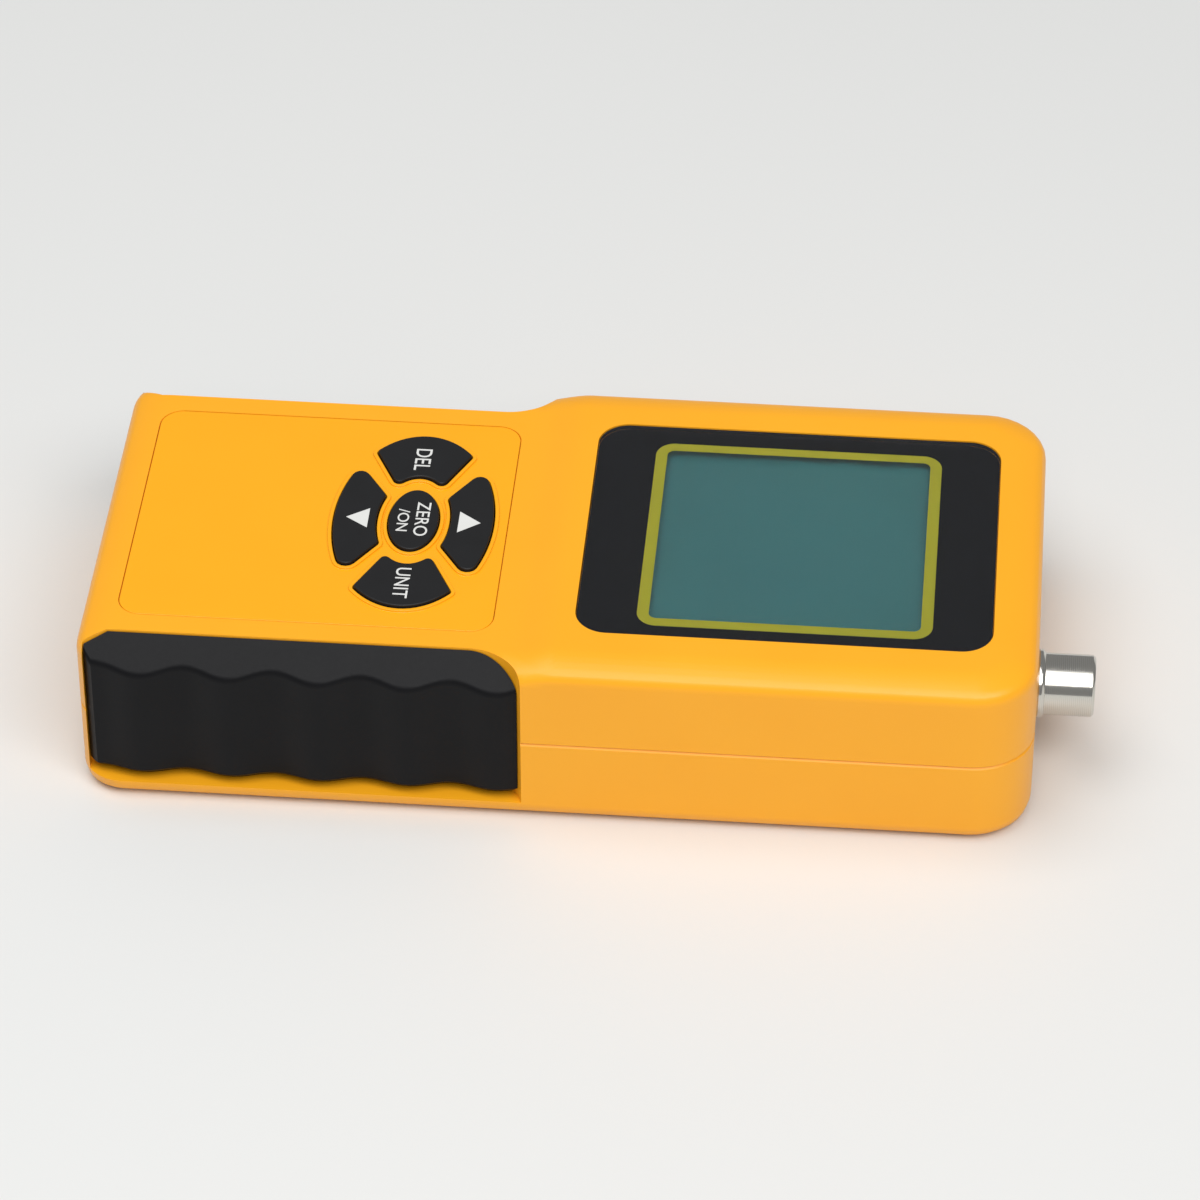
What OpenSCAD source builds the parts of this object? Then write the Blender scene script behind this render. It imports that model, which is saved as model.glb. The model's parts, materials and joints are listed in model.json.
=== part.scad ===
// Hand-held coating thickness gauge, lying on its back with its display up.
// X runs from the foot to the probe socket, Z points out of the display, sizes in millimetres.

/* [Case] */
// Length of the case without the probe socket
body_len = 146; // [142:1:156]
// Width of the case over its sides
body_w = 71; // [69:0.5:76]
// Thickness of the case at the display
body_t = 30; // [29:0.5:34]
// Width of the crown along each side of the flat top face
crown_run = 6; // [5:0.25:7]
// How far the keypad face lies below the display face
face_step = 1.5; // [1:0.1:2]
// Length of the head, from the foot of the ramp to the socket end
head_len = 81.5; // [79:0.5:83]
// Length of the ramp between the two faces
ramp_run = 9; // [7:0.5:10]
// Radius of the soft crown along the top edges
crown_r = 12; // [10:0.5:16]
// Radius where the crown turns into the side
edge_r = 2.5; // [1.5:0.1:3]
// Radius along the bottom edges
back_r = 3; // [2:0.25:4]
// Corner radius of the head, seen from above
head_corner_r = 9.5; // [7:0.5:11]
// Corner radius of the foot, seen from above
foot_corner_r = 6.5; // [4:0.5:8]
// Wall thickness of the two case halves
wall = 2.2; // [1.8:0.1:2.6]
// Floor thickness of the rear case
floor_t = 2.4; // [2.2:0.1:3]
// Height of the parting line above the back
split_z = 15; // [14.5:0.25:16]
// Depth of the shadow groove along the parting line
seam_d = 0.3; // [0.1:0.05:0.4]
// Height of the lip that centres the two halves
lip_h = 1.2; // [0.8:0.1:1.6]
// Thickness of that lip
lip_t = 0.9; // [0.7:0.05:1]

/* [Grips] */
// Thickness of the yellow edge left at the foot end
foot_edge = 1.3; // [1:0.1:2]
// How far a grip reaches past the foot of the ramp
grip_reach = 4.3; // [3:0.1:5]
// Radius of the rounded head end of a grip, seen from above
grip_round = 9; // [7:0.5:10]
// Length of the slanted corner at the foot end of a grip, seen from above
grip_slant_run = 3.5; // [2.5:0.1:4.5]
// How far that slanted corner reaches out
grip_slant_out = 1.7; // [1.2:0.1:2.4]
// Drop of the bevel from the face to the crest of a grip
grip_bevel_drop = 4.2; // [3:0.2:5.5]
// How far the crest of a grip lies inside the case's side
grip_sink = 0.5; // [0.2:0.05:0.8]
// Radius of the crest below the bevel
grip_crest_r = 1.6; // [1:0.1:2.4]
// Length of one finger wave
wave_pitch = 13.6; // [11:0.2:16]
// Distance from the foot end to the first crest of the waves
wave_first = 9.9; // [8:0.1:12]
// Depth of the dips between the waves
wave_depth = 1.3; // [0.5:0.1:1.6]
// Height of a grip's lower edge above the back
grip_low = 3.2; // [3:0.1:4]
// Height of the tongue that holds a grip between the case halves
tongue_h = 3; // [2:0.25:4]
// Depth of that tongue
tongue_d = 1.1; // [0.8:0.1:1.2]

/* [Display] */
// Length of the display window, along the case
window_len = 63.2; // [58:0.2:64]
// Distance from the window to the sides of the case
window_side = 9.65; // [9:0.05:10]
// Thickness of the display window
window_t = 1.5; // [1.2:0.1:1.8]
// Corner radius of the display window
window_r = 4.8; // [3:0.2:7]
// Distance from the window to the socket end
window_margin = 7.2; // [6.5:0.1:8]
// How far the window lies below the face
window_sink = 0.15; // [0.05:0.05:0.3]
// How far the ledge under the window laps over the glass
view_lap = 1.25; // [1:0.05:2]
// Thickness of the ledge that carries the window
ledge_t = 1.05; // [0.9:0.05:1.3]
// Length of the liquid crystal glass
lcd_len = 51; // [49:0.5:52]
// Thickness of the liquid crystal glass
lcd_t = 2.8; // [2.4:0.1:3]
// Width of the rubber contact strips
strip_w = 2.6; // [2:0.1:3]
// Wall of the holder round the glass
holder_t = 1.1; // [0.8:0.1:1.2]

/* [Keypad] */
// Distance from the keypad panel to the foot of the ramp
panel_gap = 1.5; // [1:0.1:3]
// Distance from the keypad panel to the edges of the flat face
panel_side = 4; // [3:0.1:4.5]
// Thickness of the keypad panel
panel_t = 0.6; // [0.4:0.05:0.8]
// Corner radius of the keypad panel
panel_r = 3.6; // [2:0.2:6]
// Distance from the panel to the foot end
panel_margin = 5.6; // [5:0.1:7]
// Distance from the middle of the keys to the panel's end at the ramp
key_margin = 14.6; // [14.3:0.1:17]
// Half length of the oval of keys, along the case
oval_a = 12.4; // [12:0.1:12.8]
// Half width of the oval of keys
oval_b = 21.2; // [20.6:0.1:21.8]
// Half length of the middle key
core_a = 3.9; // [3.7:0.1:4.1]
// Half width of the middle key
core_b = 7.4; // [7:0.1:7.7]
// Flat strip between the raised edges of the middle key and of the arrow keys
land_a = 0.3; // [0.15:0.05:0.5]
// Flat strip between the raised edges of the middle key and of the side keys
land_b = 1.9; // [1:0.1:2.4]
// Half angle of the two side keys
side_key_angle = 26; // [24:0.5:28]
// Half angle of the two arrow keys
arrow_key_angle = 57; // [54:0.5:58]
// Distance from the middle to where a side key's flanks would meet
side_key_apex = 1.5; // [1.3:0.1:2]
// Distance from the middle to where an arrow key's flanks would meet
arrow_key_apex = 1.1; // [1:0.1:1.6]
// Radius of the tips of the arrow keys
arrow_tip_r = 1.4; // [0.8:0.1:1.8]
// Radius of the outer corners of the side keys
side_tip_r = 0.6; // [0.3:0.1:1]
// Radius of the inner corners of these four keys
heel_r = 0.8; // [0.4:0.1:1]
// How far the keys stand above the panel
key_proud = 0.8; // [0.6:0.05:1.2]
// Key travel
key_travel = 0.5; // [0.3:0.05:0.5]
// Thickness of the rim under each key
key_rim_t = 0.9; // [0.7:0.05:1.1]
// Width of the rim under each key
key_rim_w = 0.5; // [0.4:0.05:0.55]
// Thickness of the case under the panel
key_shelf = 1.6; // [1.3:0.1:1.8]
// Height of the raised edge round each key
bead_h = 0.35; // [0.2:0.05:0.5]
// Width of that raised edge
bead_w = 0.6; // [0.4:0.05:0.6]

/* [Board] */
// Thickness of the circuit board
board_t = 1.6; // [1.2:0.1:1.8]
// Free space between the circuit board and the walls
board_clear = 2; // [1.5:0.1:2.5]
// Distance from the board to the foot end
board_margin = 10; // [9:0.5:12]
// Distance from the board to the socket end
board_end_gap = 10; // [8.5:0.5:11]
// Side of a push switch's body
switch_side = 6; // [5:0.25:6.5]
// Height of a push switch's body
switch_h = 3; // [2.6:0.1:3.4]
// Radius of a push switch's plunger
plunger_r = 1.75; // [1.2:0.05:2]
// How far a plunger stands out of its switch
plunger_rise = 0.8; // [0.7:0.05:1]

/* [Batteries] */
// Diameter of a battery cell
cell_d = 10.5; // [10:0.1:10.8]
// Length of a battery cell with its button
cell_len = 44.5; // [43:0.25:45]
// Free length that the springs take up
spring_len = 4.6; // [4:0.1:5]
// Wire radius of the springs
spring_wire_r = 0.3; // [0.25:0.05:0.4]
// Thickness of the contact plates
plate_t = 0.4; // [0.3:0.05:0.6]
// Distance from the battery bay to the foot end
bay_margin = 8; // [7:0.5:9]
// Wall thickness of the battery bay
bay_wall = 1.5; // [1.2:0.1:1.6]
// Thickness of the battery door
door_t = 2.1; // [1.9:0.1:2.2]
// Width of the tongues along the battery door
door_tongue = 1.1; // [0.8:0.1:1.3]

/* [Probe socket] */
// Length of the socket outside the case
socket_reach = 8.9; // [8:0.1:11]
// Radius of the socket's barrel
barrel_r = 4.8; // [4.4:0.1:5.2]
// Radius of the hole in the barrel
barrel_bore_r = 4.05; // [3.8:0.05:4.1]
// How far the socket's flange stands out from the barrel
flange_rim = 0.5; // [0.45:0.05:1]
// Thickness of the socket's flange
flange_t = 1.2; // [1:0.1:1.6]
// Radius of the threaded neck in the case wall
neck_r = 4.1; // [3.8:0.1:4.3]
// Length of the neck inside the case, from the outer face
neck_len = 8; // [7:0.25:9]
// Radius of the insulator
insulator_r = 2.4; // [2:0.1:2.6]
// Radius of the middle contact
contact_r = 1; // [0.8:0.05:1.2]
// Distance of the socket from the middle plane
socket_offset = 14.5; // [12:0.5:16]

/* [Fasteners] */
// Radius of the case screws
case_screw_r = 1.3; // [1.1:0.05:1.4]
// Radius of the heads of the case screws
case_head_r = 2.5; // [2.2:0.1:2.7]
// Radius of the bosses for the case screws
boss_r = 3.6; // [3.4:0.1:3.8]
// Radius of the board screws
board_screw_r = 0.9; // [0.8:0.05:1]
// Radius of the bosses for the board screws
board_boss_r = 2.4; // [2.2:0.1:2.6]

/* [Fits] */
// Gap round pieces that drop into a pocket
seat_gap = 0.15; // [0.1:0.01:0.2]
// Gap round each key
key_gap = 0.2; // [0.15:0.01:0.25]
// Running gap of the battery door
door_gap = 0.15; // [0.1:0.01:0.2]
// Radial gap of round pieces in their holes
hole_gap = 0.05; // [0.03:0.01:0.08]

/* [Hidden] */
$fn = 48;
// Small overlap that makes cuts run clear through
eps = 0.01;
// How far cutting bodies run past the faces they cut
over = 1;
// Steps along the rounded corners of the lofted case, a grip's waves and crest, and the keys' outlines
corner_steps = 8;
wave_steps = 96;
crest_steps = 6;
petal_steps = 9;
tip_steps = 5;
halvings = 24;

// Places along the case
x_foot = -(body_len + socket_reach) / 2;
x_end = x_foot + body_len;
head_x = x_end - head_len;
grip_end = head_x + grip_reach;
half_w = body_w / 2;
grip_y = half_w - crown_run;
window_x = x_end - window_margin - window_len / 2;
window_w = body_w - 2 * window_side;
panel_x0 = x_foot + panel_margin;
panel_x1 = head_x - panel_gap;
panel_w = 2 * (grip_y - panel_side);
key_x = panel_x1 - key_margin;
ring_a = core_a + 2 * (key_gap + bead_w) + land_a;
ring_b = core_b + 2 * (key_gap + bead_w) + land_b;

// Heights
face_z = body_t - face_step;
key_ceiling = face_z - panel_t - key_shelf;
key_base = key_ceiling - key_rim_t;
switch_top = key_base - plunger_rise;
board_top = switch_top - switch_h;
board_low = board_top - board_t;
tape_t = 0.1;
window_low = body_t - window_sink - window_t;
head_ceiling = window_low - tape_t - ledge_t;
lcd_low = head_ceiling - lcd_t;
shoulder_drop = 4.2;
shoulder_z = body_t - shoulder_drop;
grip_drop = 0.2;
grip_turn_in = 1.8;

// Crown of the top edges: one long arc, then a tighter one down to the side
crown_turn = asin((crown_run - edge_r) / (crown_r - edge_r));
long_drop = crown_r * (1 - cos(crown_turn));
crown_depth = long_drop + edge_r * cos(crown_turn);
crown_angles = [90, 72, 54, 36, crown_turn, crown_turn * 3 / 4, crown_turn / 2, crown_turn / 4, 0];
function crown_drop(a) = a >= crown_turn
    ? long_drop + edge_r * (cos(crown_turn) - cos(a))
    : crown_r * (1 - cos(a));
function crown_inset(d) = d <= 0 ? crown_run
    : d <= long_drop ? crown_run - crown_r * sin(acos(1 - d / crown_r))
    : d < crown_depth ? edge_r * (1 - sin(acos(cos(crown_turn) - (d - long_drop) / edge_r)))
    : 0;
back_angles = [0, 30, 60, 90];

// Ramp between the two faces: an eased rise, and the way back from height to place
ramp_steps = 10;
ramp_past = 2;
ramp_x1 = head_x + ramp_run;
function ease(t) = t <= 0 ? 0 : t >= 1 ? 1 : t * t * (3 - 2 * t);
function ease_back(s) = 0.5 - sin(asin(1 - 2 * s) / 3);
function face_at(x) = face_z + face_step * ease((x - head_x) / ramp_run);

// Screws and bosses
boss_y = half_w - wall - boss_r;
boss_gap = 0.5;
boss_end_gap = 2;
boss_xs = [grip_end + wall + boss_r + boss_gap, x_end - wall - boss_r - boss_end_gap];
lcd_clear = 0.35;
lcd_w = 2 * (boss_y - boss_r - holder_t - seat_gap - lcd_clear);
view_side = lcd_w - 2 * view_lap;
board_w = 2 * (grip_y - wall - board_clear);
case_head_z = 7.5;
case_head_t = 1.8;
case_screw_len = 13;
board_x0 = x_foot + board_margin;
board_x1 = x_end - board_end_gap;
board_edge = 2;
board_corner_r = 1.5;
board_screw_y = board_w / 2 - board_boss_r - board_edge;
board_screw_xs = [
    board_x0 + board_boss_r + board_edge,
    window_x - lcd_len / 2 - seat_gap - holder_t - board_boss_r - boss_gap
];
board_screw_len = 4.5;
board_head_r = 1.9;
board_head_t = 1.2;
pilot_extra = 0.8;
screw_clear = 0.2;
head_clear = 0.3;
cross_len = 3;
cross_w = 0.6;
cross_d = 1;
root_in = 0.4;

// Inside corners, and the room under the display face kept clear of the crown
cavity_r = 2;
view_r = 2;
room_in = 0.5;
room_end = 2.6;
room_r = 4;
light_in = 1;
strip_gap = 0.4;
plunger_seat = 0.6;
well_extra = 0.2;
lip_gap = 0.1;

// Battery bay
cell_count = 4;
cell_gap = 0.5;
cell_pitch = cell_d + cell_gap;
bay_side = 0.3;
bay_x0 = x_foot + bay_margin;
bay_x1 = bay_x0 + 2 * plate_t + cell_len + spring_len;
bay_half = cell_count * cell_pitch / 2 + bay_side;
cell_z = door_t + bay_side + cell_d / 2;
bay_top = cell_z + cell_d / 2 + bay_side;
door_lap_y = 1.4;
door_lap_x = 0.6;
door_half = bay_half + door_lap_y;
door_x1 = bay_x1 + bay_wall + door_lap_x;
door_lip = 1;
rail_t = 1.5;
rail_top = door_t + door_gap + rail_t;
finger_len = 10;
finger_w = 18;
finger_r = 4;
finger_d = 0.8;
rib_pitch = 2.5;
rib_t = 0.8;
rib_w = 14;
plate_in = 1;
plate_w = cell_d - 2 * plate_in;
plate_h = cell_d - 2 * plate_in;
button_r = 1.9;
button_len = 0.8;
tab_w = 2;
tab_rise = 1.5;
tab_top = bay_top + bay_wall + tab_rise;
tab_slot = 0.2;
spring_turns = 3.5;
spring_r = 3.2;
spring_tip_r = 2.4;

// Socket axis and tail
socket_z = split_z;
insulator_collar = 0.8;
bore_lift = 0.3;
bore_floor = flange_t + bore_lift;
flange_r = barrel_r + flange_rim;
rim_chamfer = 0.4;
contact_stub = 2;
contact_tail = neck_len + contact_stub;
contact_depth = 4;
contact_hole_r = contact_r - 0.3;
contact_sink = 1.4;
insulator_sink = 1.2;
collar_gap = 0.3;
washer_rim = 2;
washer_t = 0.6;
nut_t = 2.4;
nut_flats = 12;

// Keys: name, direction of the key from the middle, distance of its switch
arrow_spot = (ring_a + oval_a) / 2;
side_spot = (ring_b + oval_b) / 2;
key_places = [
    ["up", 0, arrow_spot], ["delete", 90, side_spot], ["down", 180, arrow_spot], ["unit", 270, side_spot],
    ["zero", 0, 0]
];

// Pieces under the board, placed from the middle of the window
chip_side = 12;
chip_t = 1.6;
chip_at = [-22, -6];
crystal_size = [11, 4.6, 3.5];
crystal_at = [-22, 10];
amplifier_size = [5, 4, 1.6];
amplifier_x = 10;
amplifier_ys = [-9, -18];
can_xs = [-8, -2, 4];
can_y = 12;
can_r = 2.5;
can_h = 5;
wire_r = 0.6;
wire_stub = 0.8;
wire_bend = 1.2;
wire_run = 2.2;
wire_clear = 0.4;

// Rounded corner as a list of points
function corner(cx, cy, r, turn, z) = [
    for (k = [0:corner_steps])
        let (a = turn + 90 * k / corner_steps) [cx + r * cos(a), cy + r * sin(a), z]
];

// Rounded rectangle as a ring of points, with one radius at the foot side and one at the socket side
function ring(x0, x1, half, r0, r1, z) = concat(
    corner(x1 - r1, half - r1, r1, 0, z), corner(x0 + r0, half - r0, r0, 90, z),
    corner(x0 + r0, r0 - half, r0, 180, z), corner(x1 - r1, r1 - half, r1, 270, z)
);

// Closed solid through a stack of rings
module loft(rings) {
    n = len(rings[0]);
    m = len(rings);
    sides = [
        for (j = [0:m - 2], i = [0:n - 1])
            let (a = j * n + i, b = j * n + (i + 1) % n)
                each [[a, a + n, b + n], [a, b + n, b]]
    ];
    bottom = [for (i = [0:n - 1]) i];
    top = [for (i = [n - 1:-1:0]) (m - 1) * n + i];
    polyhedron([for (r = rings) each r], concat([bottom], sides, [top]), convexity = 4);
}

// Outline of the front half at a height up to the keypad face: the sides ease out from handle to head
function front_ring(z, inset) = let (
    handle_in = crown_inset(face_z - z) + inset, head_in = crown_inset(body_t - z) + inset,
    foot_r = max(foot_corner_r - handle_in, 0.5), end_r = max(head_corner_r - head_in, 0.5),
    side = [for (k = [0:ramp_steps]) let (x = head_x + (ramp_run + ramp_past) * k / ramp_steps)
        [x, half_w - crown_inset(face_at(x) - z) - inset, z]]
) concat(
    corner(x_end - head_in - end_r, half_w - head_in - end_r, end_r, 0, z),
    [for (k = [ramp_steps:-1:0]) side[k]],
    corner(x_foot + handle_in + foot_r, half_w - handle_in - foot_r, foot_r, 90, z),
    corner(x_foot + handle_in + foot_r, foot_r + handle_in - half_w, foot_r, 180, z),
    [for (p = side) [p.x, -p.y, z]],
    corner(x_end - head_in - end_r, end_r + head_in - half_w, end_r, 270, z)
);

// Outline of the head alone at a height above the keypad face, ending on the ramp
function top_ring(z, inset, low) = let (
    head_in = crown_inset(body_t - z) + inset, end_r = max(head_corner_r - head_in, 0.5),
    x0 = head_x + ramp_run * ease_back((z - face_z) / face_step) + inset,
    side = [for (k = [0:ramp_steps]) let (x = x0 + (ramp_x1 + ramp_past - x0) * k / ramp_steps)
        [x, half_w - crown_inset(face_at(x) - z) - inset, z - low]]
) concat(
    corner(x_end - head_in - end_r, half_w - head_in - end_r, end_r, 0, z - low),
    [for (k = [ramp_steps:-1:0]) side[k]],
    [for (p = side) [p.x, -p.y, z - low]],
    corner(x_end - head_in - end_r, end_r + head_in - half_w, end_r, 270, z - low)
);

// Outer form of the front half: body up to the keypad face, and the head above it
module front_form() {
    loft(concat(
        [front_ring(split_z, seam_d), front_ring(split_z + seam_d, 0)],
        [for (a = crown_angles) front_ring(face_z - crown_drop(a), 0)]
    ));
    loft(concat(
        [top_ring(face_z, seam_d, 2 * seam_d), top_ring(face_z, 0, 0)],
        [for (a = crown_angles) if (crown_drop(a) < face_step - 0.1) top_ring(body_t - crown_drop(a), 0, 0)]
    ));
}

function rear_ring(z, inset) = ring(
    x_foot + inset, x_end - inset, half_w - inset,
    max(foot_corner_r - inset, 0.5), max(head_corner_r - inset, 0.5), z
);

// Outer form of the rear half, rounded along its bottom edges
module rear_form() {
    loft(concat(
        [for (a = back_angles) rear_ring(back_r * (1 - cos(a)), back_r * (1 - sin(a)))],
        [rear_ring(split_z - seam_d, 0), rear_ring(split_z, seam_d)]
    ));
}

// Flat rounded rectangle, true arcs at its corners
module rounded(x0, x1, half, r) {
    translate([x0 + r, -half])
        square([x1 - x0 - 2 * r, 2 * half]);
    translate([x0, r - half])
        square([x1 - x0, 2 * (half - r)]);
    for (x = [x0 + r, x1 - r], y = [r - half, half - r])
        translate([x, y])
            circle(r);
}

module slab(x0, x1, half, r, z0, z1) {
    translate([0, 0, z0])
        linear_extrude(z1 - z0)
            rounded(x0, x1, half, r);
}

module block(x0, x1, y0, y1, z0, z1) {
    translate([x0, y0, z0])
        cube([x1 - x0, y1 - y0, z1 - z0]);
}

// Outline in Y and Z, drawn out between two values of X
module along(x0, x1) {
    translate([x0, 0, 0])
        rotate([90, 0, 90])
            linear_extrude(x1 - x0)
                children();
}

// Tube along a list of points, eight sides
module tube(points, r) {
    n = len(points);
    sides = 8;
    function step(i) = points[min(i + 1, n - 1)] - points[max(i - 1, 0)];
    function unit(v) = v / norm(v);
    function side(i) = unit(cross(step(i), [0.3, 0.9, 0.2]));
    function ring_at(i) = let (u = side(i), v = unit(cross(step(i), u)))
        [for (k = [0:sides - 1]) points[i] + r * (u * cos(360 * k / sides) + v * sin(360 * k / sides))];
    walls = [
        for (j = [0:n - 2], k = [0:sides - 1])
            let (a = j * sides + k, b = j * sides + (k + 1) % sides)
                each [[a, a + sides, b + sides], [a, b + sides, b]]
    ];
    first = [for (k = [0:sides - 1]) k];
    last = [for (k = [sides - 1:-1:0]) (n - 1) * sides + k];
    polyhedron([for (i = [0:n - 1]) each ring_at(i)], concat([first], walls, [last]), convexity = 8);
}

// Inside of the case between two heights below the ceilings
module cavity(z0, z1) {
    slab(grip_end + wall, x_end - wall, half_w - wall, head_corner_r - wall, z0, z1);
    slab(x_foot + wall, ramp_x1, grip_y - wall, cavity_r, z0, z1);
}

// Wavy outer edge of a grip at a distance from the foot end, rounded like the case's corner
function grip_edge(u) = let (r = foot_corner_r - grip_sink, back = max(0, foot_corner_r - u)) min(
    half_w - grip_sink - wave_depth * (1 - cos(360 * (u - wave_first) / wave_pitch)) / 2,
    half_w - foot_corner_r + sqrt(max(0, r * r - back * back))
);

// Plan of a grip between its slanted foot end and its rounded head end, drawn in by a gap
module grip_plan(gap, edge) {
    x0 = x_foot + foot_edge + gap;
    x1 = grip_end - gap;
    y0 = grip_y + gap;
    intersection() {
        polygon(concat([[x1, y0], [x0 + grip_slant_run, y0], [x0, y0 + grip_slant_out]], edge));
        union() {
            circle_x = grip_end - grip_round;
            translate([x0, y0])
                square([circle_x - x0, body_w]);
            translate([circle_x, grip_y + grip_round])
                circle(grip_round - gap, $fn = 96);
        }
    }
}

// Pocket in the side of the case that takes a grip, with the slot for its tongue
module grip_pocket() {
    translate([0, 0, grip_low])
        linear_extrude(body_t)
            grip_plan(0, [[x_foot + foot_edge, body_w], [grip_end, body_w]]);
    grip_tongue(seat_gap);
}

module grip_tongue(gap) {
    block(
        x_foot + foot_edge + grip_slant_run - gap, grip_end - grip_round + gap,
        grip_y - tongue_d - gap, grip_y + wall, split_z - tongue_h / 2 - gap, split_z + tongue_h / 2 + gap
    );
}

// Cross-section of a grip at a distance from the foot end: turned-in lower edge, upright side, bevel,
// and the rounded crest between them, which slides along the bevel as the side waves in and out
function grip_section(u) = let (
    side_y = grip_edge(u), low_z = grip_low + seat_gap, top_z = face_z - grip_drop,
    run = side_y - grip_y, slope = atan2(half_w - grip_sink - grip_y, grip_bevel_drop),
    centre_y = side_y - grip_crest_r, in_y = grip_y - grip_turn_in,
    centre_z = top_z - (grip_crest_r + (run - grip_crest_r) * cos(slope)) / sin(slope)
) concat(
    [[x_foot + u, in_y, low_z], [x_foot + u, side_y - grip_turn_in, low_z],
        [x_foot + u, side_y, low_z + grip_turn_in]],
    [for (k = [0:crest_steps]) let (a = slope * k / crest_steps)
        [x_foot + u, centre_y + grip_crest_r * cos(a), centre_z + grip_crest_r * sin(a)]],
    [[x_foot + u, in_y, top_z + grip_turn_in * cos(slope) / sin(slope)]]
);

module grip() {
    u0 = foot_edge;
    u1 = grip_end - x_foot;
    intersection() {
        loft([for (k = [0:wave_steps]) grip_section(u0 + (u1 - u0) * k / wave_steps)]);
        linear_extrude(body_t)
            grip_plan(seat_gap, [[x_foot + foot_edge + seat_gap, body_w], [grip_end - seat_gap, body_w]]);
    }
    grip_tongue(0);
}

module left_grip() {
    color("#26262b")
        grip();
}

module right_grip() {
    color("#26262b")
        mirror([0, 1, 0])
            grip();
}

// Oval worked out point by point
module oval(a, b) {
    polygon([for (t = [0:5:355]) [a * cos(t), b * sin(t)]]);
}

function oval_point(a, b, t) = [a * cos(t), b * sin(t)];
function oval_turn(a, b, t) = atan2(a * sin(t), b * cos(t));
function way(t) = [cos(t), sin(t)];

// Middle of the rounding between an oval and a straight flank, found by halving the search:
// it lies on the inner side of the oval (side -1) or on its outer side (side 1)
function rounding(a, b, side, r, tip, angle, lo, hi, left) = let (
    t = (lo + hi) / 2,
    p = oval_point(a, b, t) + side * r * way(oval_turn(a, b, t)),
    past = p.y * cos(angle) - (p.x - tip) * sin(angle) + r
) left == 0 ? [t, p]
    : past < 0 ? rounding(a, b, side, r, tip, angle, t, hi, left - 1)
    : rounding(a, b, side, r, tip, angle, lo, t, left - 1);

// Outline of a key that points along +X: outer oval, rounded tips, flanks, rounded heels and inner oval
function petal(far_a, far_b, near_a, near_b, apex, angle, tip_r, rim) = let (
    tip = apex - rim / sin(angle),
    a1 = far_a + rim, b1 = far_b + rim, r1 = tip_r + rim,
    a0 = near_a - rim, b0 = near_b - rim, r0 = heel_r + rim,
    outer = rounding(a1, b1, -1, r1, tip, angle, 0, 90, halvings),
    inner = rounding(a0, b0, 1, r0, tip, angle, 0, 90, halvings),
    turn1 = oval_turn(a1, b1, outer[0]), turn0 = oval_turn(a0, b0, inner[0]) + 180,
    flank = angle + 90,
    half = concat(
        [for (k = [0:petal_steps]) oval_point(a1, b1, outer[0] * k / petal_steps)],
        [for (k = [1:tip_steps]) outer[1] + r1 * way(turn1 + (flank - turn1) * k / tip_steps)],
        [for (k = [0:tip_steps]) inner[1] + r0 * way(flank + (turn0 - flank) * k / tip_steps)],
        [for (k = [1:petal_steps]) oval_point(a0, b0, inner[0] * (1 - k / petal_steps))]
    )
) concat(half, [for (k = [len(half) - 2:-1:1]) [half[k].x, -half[k].y]]);

// Outline of a key, grown by a margin
module key_outline(name, grow) {
    if (name == "zero")
        oval(core_a + grow, core_b + grow);
    else if (name == "up" || name == "down")
        rotate(name == "up" ? 0 : 180)
            polygon(petal(oval_a, oval_b, ring_a, ring_b,
                arrow_key_apex, arrow_key_angle, arrow_tip_r, grow));
    else
        rotate(name == "delete" ? 90 : 270)
            polygon(petal(oval_b, oval_a, ring_b, ring_a,
                side_key_apex, side_key_angle, side_tip_r, grow));
}

module key_prism(name, grow, z0, z1) {
    translate([key_x, 0, z0])
        linear_extrude(z1 - z0)
            key_outline(name, grow);
}

function key_spot(k) = [
    key_x + key_places[k][2] * cos(key_places[k][1]), key_places[k][2] * sin(key_places[k][1]), 0
];

// Key cap with the rim that stops it under the case
module key(k) {
    name = key_places[k][0];
    color("#2a2a2a") {
        key_prism(name, 0, key_ceiling - eps, face_z + key_proud);
        key_prism(name, key_rim_w, key_base, key_ceiling);
    }
}

module plunger(k) {
    color("#d8d8d4")
        translate(key_spot(k) + [0, 0, switch_top - plunger_seat])
            cylinder(r = plunger_r, h = plunger_rise + plunger_seat);
}

module push_switches() {
    well = plunger_seat + key_travel + well_extra;
    color("#1f1f22")
        for (k = [0:4])
            translate(key_spot(k))
                difference() {
                    block(-switch_side / 2, switch_side / 2, -switch_side / 2, switch_side / 2,
                        board_top, switch_top);
                    translate([0, 0, switch_top - well])
                        cylinder(r = plunger_r + hole_gap, h = well + over);
                }
}

// Thin panel over the keys, with a raised edge round each opening
module keypad_panel() {
    color("#fdb51a")
        difference() {
            union() {
                slab(panel_x0, panel_x1, panel_w / 2, panel_r,
                    face_z - panel_t, face_z);
                for (p = key_places)
                    key_prism(p[0], key_gap + bead_w, face_z - eps, face_z + bead_h);
            }
            for (p = key_places)
                key_prism(p[0], key_gap, face_z - panel_t - over, face_z + over);
        }
}

module at_socket(x) {
    translate([x_end + x, -socket_offset, socket_z])
        rotate([0, 90, 0])
            children();
}

module socket_hole() {
    at_socket(-wall - over)
        cylinder(r = neck_r + hole_gap, h = wall + 2 * over);
}

// Ring that centres the two halves: it stands on the rear case and enters the front case
module case_lip(gap) {
    out = wall - lip_t;
    difference() {
        slab(grip_end + out - gap, x_end - out + gap, half_w - out + gap, head_corner_r - out + gap,
            split_z - eps, split_z + lip_h + gap);
        slab(grip_end + wall, x_end - wall, half_w - wall, head_corner_r - wall,
            split_z - over, split_z + lip_h + over);
        block(x_foot, ramp_x1, -grip_y, grip_y, split_z - over, split_z + lip_h + over);
        socket_hole();
    }
}

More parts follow.
